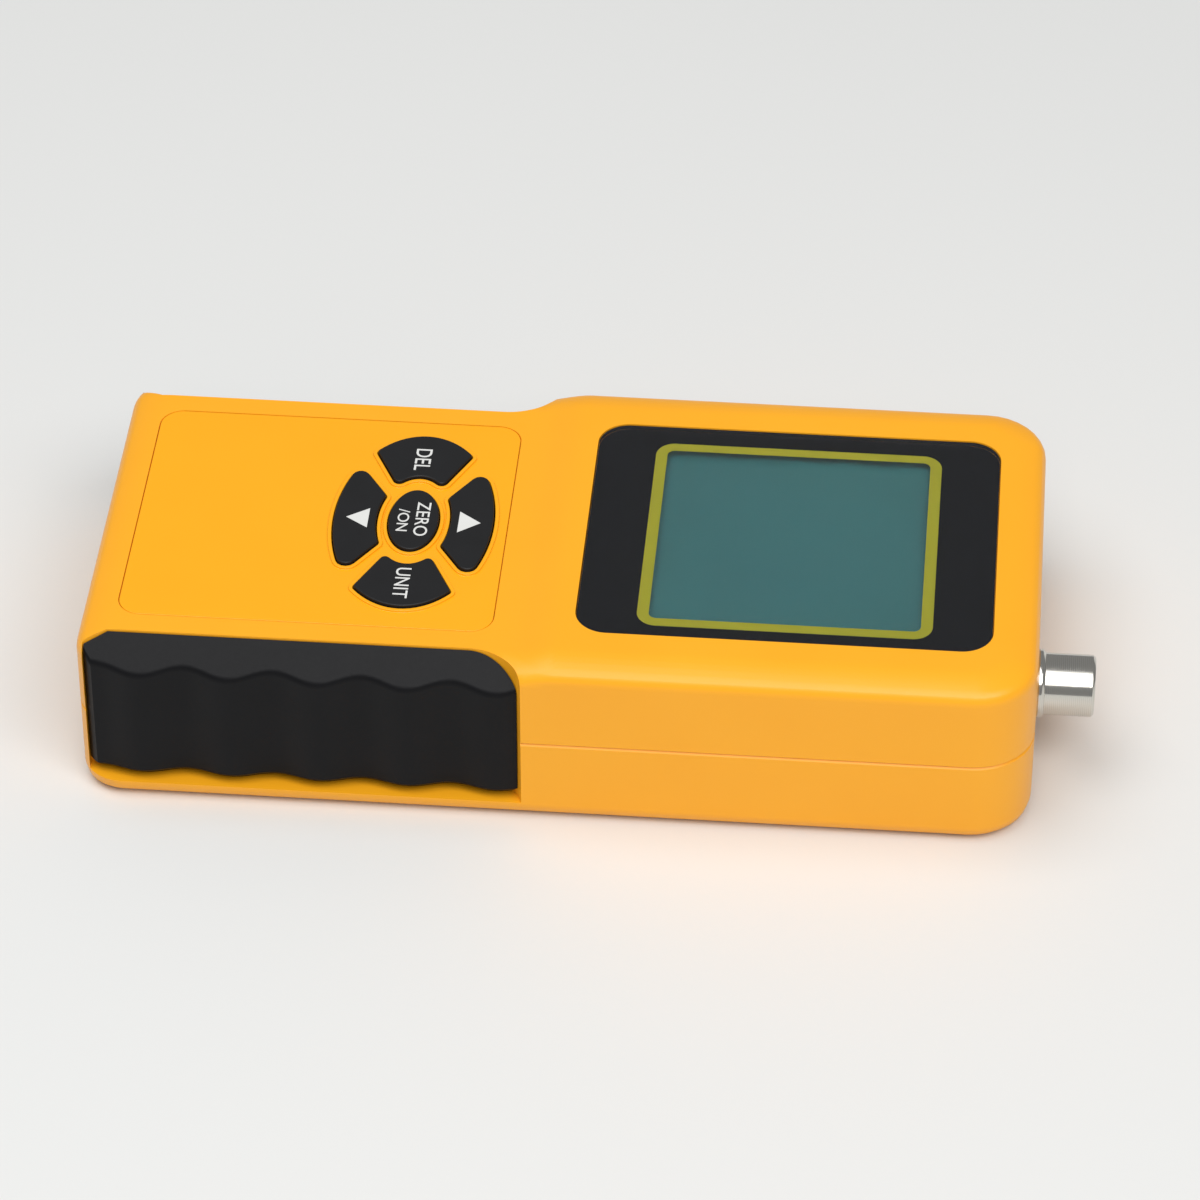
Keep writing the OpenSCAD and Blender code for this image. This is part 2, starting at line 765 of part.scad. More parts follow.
module case_bosses(z0, z1) {
    for (x = boss_xs, y = [-boss_y, boss_y])
        translate([x, y, z0])
            cylinder(r = boss_r, h = z1 - z0);
}

module at_board_screws() {
    for (x = board_screw_xs, y = [-board_screw_y, board_screw_y])
        translate([x, y, 0])
            children();
}

function ceiling_at(x) = x > head_x ? head_ceiling : key_ceiling;

module front_case() {
    pilot = case_head_z + case_screw_len + pilot_extra;
    color("#ffb724")
        difference() {
            union() {
                difference() {
                    front_form();
                    cavity(split_z - over, min(shoulder_z, key_ceiling));
                    slab(x_foot + wall, ramp_x1, grip_y - wall, cavity_r, split_z - over, key_ceiling);
                    slab(ramp_x1 - wall, x_end - wall - room_end, grip_y - room_in, room_r,
                        split_z - over, head_ceiling);
                }
                case_bosses(split_z, shoulder_z + root_in);
                for (x = board_screw_xs, y = [-board_screw_y, board_screw_y])
                    translate([x, y, board_top])
                        cylinder(r = board_boss_r, h = ceiling_at(x) + root_in - board_top);
            }
            grip_pocket();
            mirror([0, 1, 0])
                grip_pocket();
            slab(window_x - window_len / 2 - seat_gap, window_x + window_len / 2 + seat_gap,
                window_w / 2 + seat_gap, window_r + seat_gap, window_low - tape_t, body_t + over);
            slab(window_x - view_side / 2, window_x + view_side / 2, view_side / 2, view_r, split_z, body_t);
            slab(panel_x0 - seat_gap, panel_x1 + seat_gap, panel_w / 2 + seat_gap, panel_r + seat_gap,
                face_z - panel_t, face_z + over);
            for (p = key_places)
                key_prism(p[0], key_gap, key_ceiling - over, face_z);
            case_lip(lip_gap);
            socket_hole();
            for (x = boss_xs, y = [-boss_y, boss_y])
                translate([x, y, split_z - over])
                    cylinder(r = case_screw_r + hole_gap, h = pilot - split_z + over);
            at_board_screws()
                translate([0, 0, board_low])
                    cylinder(r = board_screw_r + hole_gap, h = board_screw_len + pilot_extra);
        }
}

// Opening in the back that the battery door slides along
module door_way(gap) {
    wide = door_half + door_tongue;
    block(x_foot - over, door_x1 + gap, -door_half - gap, door_half + gap, -over, door_t + gap);
    block(x_foot - over, door_x1 + gap, -wide - gap, wide + gap, door_lip, door_t + gap);
}

module rear_case() {
    rail_y = grip_y - wall + room_in;
    bay_y = bay_half + bay_wall;
    color("#ffb724")
        difference() {
            union() {
                difference() {
                    rear_form();
                    cavity(floor_t, split_z + over);
                }
                case_bosses(floor_t - over, split_z);
                case_lip(0);
                block(x_foot + wall - over, door_x1 + rail_t, -rail_y, rail_y, floor_t - over, rail_top);
                block(bay_x0 - bay_wall, bay_x1 + bay_wall, -bay_y, bay_y,
                    floor_t - over, bay_top + bay_wall);
            }
            block(bay_x0, bay_x1, -bay_half, bay_half, -over, bay_top);
            door_way(door_gap);
            grip_pocket();
            mirror([0, 1, 0])
                grip_pocket();
            socket_hole();
            for (x = boss_xs, y = [-boss_y, boss_y])
                translate([x, y, -over]) {
                    cylinder(r = case_screw_r + screw_clear, h = split_z + 2 * over);
                    cylinder(r = case_head_r + head_clear, h = case_head_z + over);
                }
            for (y = tab_ys())
                block(bay_x0 - eps, bay_x0 + plate_t + tab_slot, y - tab_w / 2 - tab_slot,
                    y + tab_w / 2 + tab_slot, bay_top - over, bay_top + bay_wall + over);
        }
}

// Sliding door with a finger recess and three ribs in it
module battery_door() {
    finger_x = door_x1 - finger_len;
    color("#f7ae20")
        difference() {
            intersection() {
                rear_form();
                door_way(0);
            }
            difference() {
                slab(finger_x - finger_len / 2, finger_x + finger_len / 2, finger_w / 2, finger_r,
                    -over, finger_d);
                for (x = [-rib_pitch, 0, rib_pitch])
                    block(finger_x + x - rib_t / 2, finger_x + x + rib_t / 2, -rib_w / 2, rib_w / 2, 0, over);
            }
        }
}

module display_window() {
    color("#2b2c31", 0.6)
        slab(window_x - window_len / 2, window_x + window_len / 2, window_w / 2, window_r,
            window_low, window_low + window_t);
}

module lcd_panel() {
    color("#44706f")
        block(window_x - lcd_len / 2, window_x + lcd_len / 2, -lcd_w / 2, lcd_w / 2, lcd_low, head_ceiling);
}

module backlight() {
    half = lcd_len / 2 - strip_w - strip_gap;
    color("#e8efe6")
        block(window_x - half, window_x + half, light_in - lcd_w / 2, lcd_w / 2 - light_in,
            board_top, lcd_low);
}

module contact_strips() {
    color("#3a3a40")
        for (s = [-1, 1])
            translate([window_x + s * (lcd_len - strip_w) / 2, 0, 0])
                block(-strip_w / 2, strip_w / 2, light_in - lcd_w / 2, lcd_w / 2 - light_in,
                    board_top, lcd_low);
}

// Frame round the glass, open in the middle
module lcd_holder() {
    inner_x = lcd_len / 2 + seat_gap;
    inner_y = lcd_w / 2 + seat_gap;
    color("#e9e9e4")
        difference() {
            block(window_x - inner_x - holder_t, window_x + inner_x + holder_t,
                -inner_y - holder_t, inner_y + holder_t, board_top, head_ceiling);
            block(window_x - inner_x, window_x + inner_x, -inner_y, inner_y,
                board_top - over, head_ceiling + over);
        }
}

module main_board() {
    color("#1f5a35")
        difference() {
            slab(board_x0, board_x1, board_w / 2, board_corner_r, board_low, board_top);
            at_board_screws()
                translate([0, 0, board_low - over])
                    cylinder(r = board_screw_r + screw_clear, h = board_t + 2 * over);
        }
}

// Flat piece soldered under the board
module board_chip(at, size) {
    translate([window_x + at.x - size.x / 2, at.y - size.y / 2, board_low - size.z])
        cube(size);
}

module controller_chip() {
    color("#222226")
        board_chip(chip_at, [chip_side, chip_side, chip_t]);
}

module amplifier_chips() {
    color("#222226")
        for (y = amplifier_ys)
            board_chip([amplifier_x, y], amplifier_size);
}

module crystal() {
    color("#c9cbcd")
        board_chip(crystal_at, crystal_size);
}

module capacitors() {
    color("#34363c")
        for (x = can_xs)
            translate([window_x + x, can_y, board_low - can_h])
                cylinder(r = can_r, h = can_h);
}

module board_screws() {
    color("#b9bcc0")
        at_board_screws() {
            translate([0, 0, board_low - board_head_t])
                cylinder(r = board_head_r, h = board_head_t);
            translate([0, 0, board_low - eps])
                cylinder(r = board_screw_r, h = board_screw_len);
        }
}

module case_screws() {
    color("#b9bcc0")
        for (x = boss_xs, y = [-boss_y, boss_y])
            translate([x, y, case_head_z]) {
                difference() {
                    translate([0, 0, -case_head_t])
                        cylinder(r = case_head_r, h = case_head_t);
                    for (turn = [0, 90])
                        rotate(turn)
                            block(-cross_len / 2, cross_len / 2, -cross_w / 2, cross_w / 2,
                                -case_head_t - over, cross_d - case_head_t);
                }
                translate([0, 0, -eps])
                    cylinder(r = case_screw_r, h = case_screw_len);
            }
}

function cell_y(i) = (i - (cell_count - 1) / 2) * cell_pitch;
function tab_ys() = [cell_y(0), cell_y(cell_count - 1)];

// Cells lie side by side, every second one turned round
module battery_cell(i) {
    turned = i % 2 == 1;
    color("#3f6f9a")
        translate([turned ? bay_x0 + plate_t : bay_x1 - plate_t, cell_y(i), cell_z])
            rotate([0, turned ? 90 : -90, 0]) {
                cylinder(r = button_r, h = button_len + eps);
                translate([0, 0, button_len])
                    cylinder(r = cell_d / 2, h = cell_len - button_len);
            }
}

// Conical coil spring, its wide end on the contact plate
module coil_spring() {
    count = 10 * spring_turns;
    rise = (spring_len - 2 * spring_wire_r) / count;
    tube(
        [for (k = [0:count])
            let (a = 36 * k, r = spring_r + (spring_tip_r - spring_r) * k / count)
                [r * cos(a), r * sin(a), spring_wire_r + rise * k]],
        spring_wire_r
    );
}

module battery_springs() {
    color("#c4c7ca")
        for (i = [0:cell_count - 1])
            translate([i % 2 == 1 ? bay_x1 - plate_t : bay_x0 + plate_t, cell_y(i), cell_z])
                rotate([0, i % 2 == 1 ? -90 : 90, 0])
                    coil_spring();
}

module contact_plate(x, y0, y1) {
    block(x, x + plate_t, y0 - plate_w / 2, y1 + plate_w / 2, cell_z - plate_h / 2, cell_z + plate_h / 2);
}

// Links between neighbouring cells, and two end plates with a tab through the bay's roof
module battery_plates() {
    color("#c9ccce") {
        for (i = [0:2:cell_count - 2])
            contact_plate(bay_x1 - plate_t, cell_y(i), cell_y(i + 1));
        for (i = [1:2:cell_count - 3])
            contact_plate(bay_x0, cell_y(i), cell_y(i + 1));
        for (y = tab_ys()) {
            contact_plate(bay_x0, y, y);
            block(bay_x0, bay_x0 + plate_t, y - tab_w / 2, y + tab_w / 2, cell_z, tab_top);
        }
    }
}

// Two leads from the tabs to the underside of the board
module battery_leads() {
    color("#b02a24")
        for (s = [-1, 1]) {
            y = s * cell_y(cell_count - 1);
            x0 = bay_x0 + plate_t / 2;
            x1 = board_screw_xs[0] - board_head_r - wire_r - wire_clear;
            bend_z = (tab_top + board_low) / 2;
            tube([
                [x0, y, tab_top], [x0, y, tab_top + wire_stub], [x0 + wire_bend, y, bend_z],
                [x1 - wire_bend, y, bend_z], [x1, y, board_low - wire_stub], [x1, y, board_low]
            ], wire_r);
        }
}

// Turned shell of the socket: tail, neck, flange, coned shoulder and open barrel
module socket_shell() {
    bore_r = insulator_r + hole_gap;
    color("#c8c9cb")
        at_socket(0)
            rotate_extrude()
                polygon([
                    [bore_r, -neck_len], [neck_r, -neck_len], [neck_r, 0], [flange_r, 0],
                    [flange_r, flange_t - rim_chamfer], [flange_r - rim_chamfer, flange_t],
                    [barrel_r, flange_t], [barrel_r, socket_reach - rim_chamfer],
                    [barrel_r - rim_chamfer, socket_reach], [barrel_bore_r, socket_reach],
                    [barrel_bore_r, bore_floor], [bore_r, bore_floor]
                ]);
}

module socket_insulator() {
    collar_r = barrel_bore_r - collar_gap;
    front = socket_reach - insulator_sink;
    bore_r = contact_r + hole_gap;
    color("#ecebe6")
        at_socket(0)
            rotate_extrude()
                polygon([
                    [bore_r, -neck_len], [insulator_r, -neck_len], [insulator_r, bore_floor],
                    [collar_r, bore_floor], [collar_r, bore_floor + insulator_collar],
                    [insulator_r, bore_floor + insulator_collar], [insulator_r, front], [bore_r, front]
                ]);
}

module socket_contact() {
    front = socket_reach - contact_sink;
    color("#d9b24c")
        at_socket(0)
            difference() {
                translate([0, 0, -contact_tail])
                    cylinder(r = contact_r, h = contact_tail + front);
                translate([0, 0, front - contact_depth])
                    cylinder(r = contact_hole_r, h = contact_depth + over);
            }
}

module socket_washer() {
    color("#c3c5c8")
        at_socket(-wall - washer_t)
            difference() {
                cylinder(r = neck_r + washer_rim, h = washer_t);
                translate([0, 0, -over])
                    cylinder(r = neck_r + hole_gap, h = washer_t + 2 * over);
            }
}

module socket_nut() {
    color("#c3c5c8")
        at_socket(-wall - washer_t - nut_t)
            difference() {
                cylinder(r = nut_flats / 2 / cos(30), h = nut_t, $fn = 6);
                translate([0, 0, -over])
                    cylinder(r = neck_r + hole_gap, h = nut_t + 2 * over);
            }
}

// Lead from the middle contact to the underside of the board
module probe_lead() {
    x = x_end - contact_tail;
    y = -socket_offset;
    color("#2f2f33")
        tube([
            [x, y, socket_z], [x - wire_stub, y, socket_z], [x - wire_stub - wire_bend, y, socket_z + wire_r],
            [x - 2 * wire_run, y, (socket_z + board_low) / 2], [x - 2 * wire_run, y, board_low - wire_stub],
            [x - 2 * wire_run, y, board_low]
        ], wire_r);
}

front_case();
rear_case();
left_grip();
right_grip();
display_window();
lcd_panel();
lcd_holder();
backlight();
contact_strips();
main_board();
controller_chip();
amplifier_chips();
crystal();
capacitors();
keypad_panel();
key(0);  // key_up
key(2);  // key_down
key(1);  // key_delete
key(3);  // key_unit
key(4);  // key_zero
push_switches();
plunger(0);  // plunger_up
plunger(2);  // plunger_down
plunger(1);  // plunger_delete
plunger(3);  // plunger_unit
plunger(4);  // plunger_zero
battery_door();
battery_cell(0);  // battery_cell_1
battery_cell(1);  // battery_cell_2
battery_cell(2);  // battery_cell_3
battery_cell(3);  // battery_cell_4
battery_springs();
battery_plates();
battery_leads();
socket_shell();
socket_insulator();
socket_contact();
socket_washer();
socket_nut();
probe_lead();
case_screws();
board_screws();
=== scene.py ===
import json
import math

import bpy
from bpy.props import FloatProperty, FloatVectorProperty, PointerProperty
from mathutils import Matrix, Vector


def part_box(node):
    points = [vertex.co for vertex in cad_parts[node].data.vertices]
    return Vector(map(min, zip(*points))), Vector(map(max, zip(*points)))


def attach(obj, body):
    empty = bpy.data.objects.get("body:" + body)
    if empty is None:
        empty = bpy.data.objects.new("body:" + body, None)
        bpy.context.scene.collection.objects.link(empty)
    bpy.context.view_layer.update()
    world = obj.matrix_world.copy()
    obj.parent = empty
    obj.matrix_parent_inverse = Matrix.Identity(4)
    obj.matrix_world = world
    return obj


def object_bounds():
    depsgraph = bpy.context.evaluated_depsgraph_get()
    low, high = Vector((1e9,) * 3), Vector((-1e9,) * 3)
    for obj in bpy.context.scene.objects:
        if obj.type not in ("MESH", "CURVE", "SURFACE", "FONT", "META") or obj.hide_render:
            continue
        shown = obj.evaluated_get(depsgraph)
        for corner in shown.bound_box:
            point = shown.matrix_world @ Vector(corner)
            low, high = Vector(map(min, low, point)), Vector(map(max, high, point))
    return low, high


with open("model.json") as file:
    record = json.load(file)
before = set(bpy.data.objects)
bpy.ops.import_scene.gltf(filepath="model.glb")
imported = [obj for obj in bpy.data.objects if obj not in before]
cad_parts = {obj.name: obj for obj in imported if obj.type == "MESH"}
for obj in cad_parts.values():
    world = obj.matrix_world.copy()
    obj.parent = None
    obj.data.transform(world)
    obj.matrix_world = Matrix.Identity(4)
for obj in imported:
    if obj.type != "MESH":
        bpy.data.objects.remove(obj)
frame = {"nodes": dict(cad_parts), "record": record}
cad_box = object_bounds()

bl_info = {
    "name": "Coating Thickness Gauge",
    "version": (1, 0, 0),
    "blender": (4, 5, 0),
    "location": "3D View > Sidebar > Gauge",
    "description": "Finishes a hand-held coating thickness gauge and sets it on a studio floor",
    "category": "Object",
}

MM = 0.001
SLOTS = {row["node"]: row["material_slot"] for row in frame["record"]["subparts"]}
# Points of a CAD mesh that lie closer than this become one.
WELD_MM = 0.002
# Faces that meet at less than this count as one flat face.
FLAT_DEG = 0.3
# An edge that bends by more than this is sharp: it is rounded, or shaded as a crease.
SHARP_DEG = 34.0
EDGE_SEGMENTS = 3
# A Mix node's sockets for colours go by number, because their names repeat.
MIX_FACTOR, MIX_FIRST, MIX_SECOND, MIX_RESULT = 0, 6, 7, 2
# A wave texture along an axis repeats after this much of its scaled length.
WAVE_REPEAT = math.tau / 20
# A word is made about one unit high, and is scaled to its place on the key afterwards.
LETTER_DEPTH = 0.01
LETTER_BOLDER = 0.004
# Each word's piece, text, key, middle, length and height of capitals, in millimetres. The middle
# is measured from the centre of the middle key.
WORDS = (
    ("legend_unit", "UNIT", "key_unit", (-0.1, -15.8), 7.3, 2.3),
    ("legend_delete", "DEL", "key_delete", (-0.1, 15.0), 5.4, 2.5),
    ("legend_zero", "ZERO", "key_zero", (1.35, 0.1), 8.4, 2.15),
    ("legend_on", "/ON", "key_zero", (-1.6, -0.4), 5.5, 1.8),
)
# Each arrow's piece, key and corners, measured in the same way.
ARROWS = (
    ("legend_up", "key_up", ((10.5, -0.2), (7.05, 2.4), (7.05, -2.8))),
    ("legend_down", "key_down", ((-10.5, -0.3), (-7.0, -2.7), (-7.0, 2.1))),
)
BRIGHT_STEEL = "#B9BABC"
# How far the floor reaches to each side, in metres.
FLOOR_REACH = 4.0


def linear(code):
    """An sRGB hex colour as linear RGB."""
    parts = [int(code[i:i + 2], 16) / 255 for i in (1, 3, 5)]
    return [p / 12.92 if p <= 0.04045 else ((p + 0.055) / 1.055) ** 2.4 for p in parts]


def colour(name, what, code):
    """A colour that a user may change."""
    return FloatVectorProperty(
        name=name, description=what, subtype="COLOR", min=0, max=1, default=linear(code)
    )


def length(name, what, mm):
    """A length that a user may change, given in millimetres and kept in metres."""
    return FloatProperty(name=name, description=what, default=mm * MM, min=0, precision=6,
                         unit="LENGTH")


class GaugeColours(bpy.types.PropertyGroup):
    """Colours of the gauge's main finishes."""

    case: colour("Case", "Moulded front, back and battery door", "#FDB020")
    case_deep: colour("Case, deeper", "Slightly deeper patches of the same moulding", "#FBAA19")
    panel: colour("Keypad panel", "Printed overlay round the keys", "#FDB014")
    grip: colour("Grips", "Soft rubber at the sides", "#08080A")
    key: colour("Keys", "Rubber keys", "#121213")
    legend: colour("Legends", "Ink of the words and arrows on the keys", "#E2E2DF")
    border: colour("Window border", "Ink behind the window, round the display", "#16171C")
    line: colour("Display line", "Printed line round the display", "#D4CE3B")
    glass: colour("Display", "Unlit liquid crystal glass", "#3D7F81")


class GaugeSizes(bpy.types.PropertyGroup):
    """Sizes of the print, of the small roundings and of the cells' bare ends."""

    line_length: length("Line length", "Outer length of the line round the display", 45.0)
    line_width: length("Line width", "Outer width of the line round the display", 45.2)
    line_stroke: length("Line stroke", "Breadth of the printed line", 1.8)
    line_radius: length("Line corner", "Outer corner radius of the printed line", 3.0)
    border_margin: length("Border margin", "Clear rim of the window outside its ink", 0.02)
    border_radius: length("Border corner", "Corner radius of the window's ink", 4.8)
    ink: length("Ink", "Thickness of each printed layer", 0.02)
    panel_edge: length("Panel edge", "Rounding of the edges of the keypad panel", 0.1)
    key_edge: length("Key edge", "Rounding of the edges of the keys", 0.3)
    grip_edge: length("Grip edge", "Rounding of the edges of the grips", 0.3)
    case_edge: length("Case edge", "Rounding of the small edges of the case", 0.15)
    metal_edge: length("Metal edge", "Rounding of the edges of turned metal", 0.15)
    chip_edge: length("Chip edge", "Rounding of the edges of chips and metal cans", 0.08)
    cell_edge: length("Cell edge", "Rounding of the edges of the cells", 0.2)
    cell_end: length("Cell end", "Bare steel at each end of a cell", 1.0)


class GaugeStage(bpy.types.PropertyGroup):
    """Camera, floor and lights."""

    distance: FloatProperty(name="Distance", description="From the lens to the gauge",
                            default=0.861, unit="LENGTH")
    elevation: FloatProperty(name="Elevation", description="How far the camera looks down",
                             default=math.radians(39.3), subtype="ANGLE")
    azimuth: FloatProperty(name="Azimuth", description="How far the camera stands to the right",
                           default=math.radians(4.75), subtype="ANGLE")
    lens: FloatProperty(name="Lens", description="Focal length", default=165.0, unit="CAMERA")
    floor: colour("Floor", "Pale studio floor", "#E4E4E2")
    key_power: FloatProperty(name="Main light", description="Power of the overhead softbox",
                             default=9.2, subtype="POWER")
    fill_power: FloatProperty(name="Fill light", description="Power of the front softbox",
                              default=14.6, subtype="POWER")
    sky: FloatProperty(name="Room light", description="Brightness of the white room",
                       default=0.3, min=0)


def add_node(tree, kind, values=None, links=None, **options):
    """Adds a node, with its options, the values of its sockets and the links into them."""
    node = tree.nodes.new(kind)
    for option, value in options.items():
        setattr(node, option, value)
    for socket, value in (values or {}).items():
        node.inputs[socket].default_value = value
    for socket, source in (links or {}).items():
        tree.links.new(source, node.inputs[socket])
    return node


def surface(name, base, accent, grain, depth, rough, spread, patch=None, rows=None, **shader):
    """A surface of two close colours, with a grain that moves its gloss and height.

    grain, depth and patch are real sizes in millimetres. rough and spread are the middle and half
    the range of its roughness. The colours lie in patches, or in fine parallel lines where rows
    gives their axis and their spacing in millimetres: the lines then give the height as well.
    shader sets other sockets of the Principled shader. A second run makes the material anew.
    """
    material = bpy.data.materials.get(name) or bpy.data.materials.new(name)
    material.use_nodes = True
    tree = material.node_tree
    tree.nodes.clear()
    place = add_node(tree, "ShaderNodeTexCoord").outputs["Object"]
    fine = add_node(tree, "ShaderNodeTexNoise", {"Scale": 1 / (grain * MM), "Detail": 3.0},
                    {"Vector": place})
    if rows:
        axis, pitch = rows
        broad = add_node(tree, "ShaderNodeTexWave",
                         {"Scale": WAVE_REPEAT / (pitch * MM), "Distortion": 0.0},
                         {"Vector": place}, wave_type="BANDS", bands_direction=axis)
    else:
        broad = add_node(tree, "ShaderNodeTexNoise", {"Scale": 1 / (patch * MM), "Detail": 2.0},
                         {"Vector": place})
    tint = add_node(tree, "ShaderNodeMix", {MIX_FIRST: (*base, 1), MIX_SECOND: (*accent, 1)},
                    {MIX_FACTOR: broad.outputs["Fac"]}, data_type="RGBA")
    gloss = add_node(tree, "ShaderNodeMapRange", {"To Min": rough - spread, "To Max": rough + spread},
                     {"Value": fine.outputs["Fac"]})
    height = broad if rows else fine
    bump = add_node(tree, "ShaderNodeBump", {"Strength": 1.0, "Distance": depth * MM},
                    {"Height": height.outputs["Fac"]})
    look = add_node(tree, "ShaderNodeBsdfPrincipled", shader,
                    {"Base Color": tint.outputs[MIX_RESULT], "Roughness": gloss.outputs[0],
                     "Normal": bump.outputs[0]})
    add_node(tree, "ShaderNodeOutputMaterial", links={"Surface": look.outputs[0]})
    return material


def smooth_by_angle():
    """Geometry nodes that drop imported normals and shade smooth below the sharp angle."""
    tree = bpy.data.node_groups.get("smooth_by_angle")
    if tree:
        return tree
    tree = bpy.data.node_groups.new("smooth_by_angle", "GeometryNodeTree")
    for way in ("INPUT", "OUTPUT"):
        tree.interface.new_socket("Geometry", in_out=way, socket_type="NodeSocketGeometry")
    start = add_node(tree, "NodeGroupInput")
    angle = add_node(tree, "GeometryNodeInputMeshEdgeAngle")
    sharp = add_node(tree, "FunctionNodeCompare", {"B": math.radians(SHARP_DEG)},
                     {"A": angle.outputs["Unsigned Angle"]},
                     data_type="FLOAT", operation="GREATER_THAN")
    normals = add_node(tree, "GeometryNodeSetMeshNormal", {"Remove Custom": True},
                       {"Mesh": start.outputs[0], "Edge Sharpness": sharp.outputs[0]},
                       mode="SHARPNESS")
    add_node(tree, "NodeGroupOutput", links={0: normals.outputs[0]})
    return tree


def dress(nodes, material, edge=0.0):
    """Gives CAD nodes their material, rounds their sharp edges and smooths the rest."""
    for name in nodes:
        piece = frame["nodes"][name]
        for place in piece.material_slots:
            place.material = material
        piece.modifiers.clear()
        weld = piece.modifiers.new("weld", "WELD")
        weld.merge_threshold = WELD_MM * MM
        if edge:
            flat = piece.modifiers.new("flat faces", "DECIMATE")
            flat.decimate_type = "DISSOLVE"
            flat.angle_limit = math.radians(FLAT_DEG)
            rounding = piece.modifiers.new("rounded edges", "BEVEL")
            rounding.width = edge
            rounding.segments = EDGE_SEGMENTS
            rounding.limit_method = "ANGLE"
            rounding.angle_limit = math.radians(SHARP_DEG)
        smooth = piece.modifiers.new("smooth", "NODES")
        smooth.node_group = smooth_by_angle()
        even = piece.modifiers.new("flat faces stay flat", "WEIGHTED_NORMAL")
        even.keep_sharp = True


def of_slot(slot):
    """The CAD nodes that the record gives this finish."""
    found = [node for node, its in SLOTS.items() if its == slot]
    if not found:
        raise RuntimeError(f"the record gives no node the finish {slot}")
    return found


def add_object(name, data):
    """Adds an object to the scene, in place of the one that an earlier run made."""
    earlier = bpy.data.objects.get(name)
    if earlier:
        bpy.data.objects.remove(earlier)
    added = bpy.data.objects.new(name, data)
    bpy.context.scene.collection.objects.link(added)
    return added


def place_mesh(name, source, place, material, body, slot):
    """Turns a curve into a mesh piece, puts each point where place says and lets it ride on a body."""
    holder = add_object(name + "_curve", source)
    seen = holder.evaluated_get(bpy.context.evaluated_depsgraph_get())
    mesh = bpy.data.meshes.new_from_object(seen)
    bpy.data.objects.remove(holder)
    bpy.data.curves.remove(source)
    if not mesh.vertices:
        raise RuntimeError(f"{name} has no shape")
    low = [min(v.co[i] for v in mesh.vertices) for i in range(3)]
    high = [max(v.co[i] for v in mesh.vertices) for i in range(3)]
    for v in mesh.vertices:
        v.co = place(v.co, low, high)
    mesh.name = name
    mesh.materials.clear()
    mesh.materials.append(material)
    piece = add_object(name, mesh)
    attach(piece, body)


def printed_shape(name, loops, bottom, thick, material, body, slot):
    """A flat printed layer from closed outlines in metres; an outline inside another is a hole."""
    curve = bpy.data.curves.new(name, "CURVE")
    curve.dimensions = "2D"
    curve.fill_mode = "BOTH"
    curve.extrude = thick / 2
    for loop in loops:
        spline = curve.splines.new("POLY")
        spline.points.add(len(loop) - 1)
        for point, spot in zip(spline.points, loop):
            point.co = (*spot, 0, 1)
        spline.use_cyclic_u = True
    lift = Vector((0, 0, bottom + thick / 2))
    place_mesh(name, curve, lambda co, low, high: co + lift, material, body, slot)


def printed_word(name, word, key, centre, run, cap, thick, material):
    """A word printed on a key, which reads toward -Y with the tops of its letters toward +X."""
    curve = bpy.data.curves.new(name, "FONT")
    curve.body = word
    curve.extrude = LETTER_DEPTH
    curve.offset = LETTER_BOLDER
    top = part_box(key)[1].z

    def place(co, low, high):
        along, up, rise = ((co[i] - low[i]) / (high[i] - low[i]) for i in range(3))
        return (centre[0] + (up - 0.5) * cap, centre[1] - (along - 0.5) * run,
                top + rise * thick)

    place_mesh(name, curve, place, material, key, SLOTS[key])


def rounded_frame(centre, size, radius, steps=10):
    """Outline of a rectangle with rounded corners of so many steps each, in metres."""
    loop = []
    for quarter, (sx, sy) in enumerate(((1, 1), (-1, 1), (-1, -1), (1, -1))):
        for step in range(steps + 1):
            turn = math.radians(90 * (quarter + step / steps))
            loop.append((centre[0] + sx * (size[0] / 2 - radius) + radius * math.cos(turn),
                         centre[1] + sy * (size[1] / 2 - radius) + radius * math.sin(turn)))
    return loop


def print_window(sizes, border_ink, line_ink):
    """Prints the border and the line round the display, just inside the back of the window."""
    low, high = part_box("display_window")
    centre = ((low.x + high.x) / 2, (low.y + high.y) / 2)
    ink, stroke, radius = sizes.ink, sizes.line_stroke, sizes.line_radius
    outer = (sizes.line_length, sizes.line_width)
    margin = 2 * sizes.border_margin
    rim = (high.x - low.x - margin, high.y - low.y - margin)
    # The border laps half the line from behind, so that no light passes between them.
    lap = rounded_frame(centre, (outer[0] - stroke, outer[1] - stroke), radius - stroke / 2)
    printed_shape("window_border", [rounded_frame(centre, rim, sizes.border_radius), lap],
                  low.z + ink / 2, ink, border_ink, "case", "window_clear")
    inner = rounded_frame(centre, (outer[0] - 2 * stroke, outer[1] - 2 * stroke),
                          radius - stroke)
    printed_shape("display_line", [rounded_frame(centre, outer, radius), inner],
                  low.z + 2 * ink, ink, line_ink, "case", "window_clear")


def print_legends(thick, ink):
    """Prints the words and the arrows on the tops of the keys."""
    low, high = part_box("key_zero")
    middle = ((low.x + high.x) / 2, (low.y + high.y) / 2)
    for name, word, key, spot, run, cap in WORDS:
        centre = (middle[0] + spot[0] * MM, middle[1] + spot[1] * MM)
        printed_word(name, word, key, centre, run * MM, cap * MM, thick, ink)
    for name, key, corners in ARROWS:
        loop = [(middle[0] + x * MM, middle[1] + y * MM) for x, y in corners]
        printed_shape(name, [loop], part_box(key)[1].z, thick, ink, key, SLOTS[key])


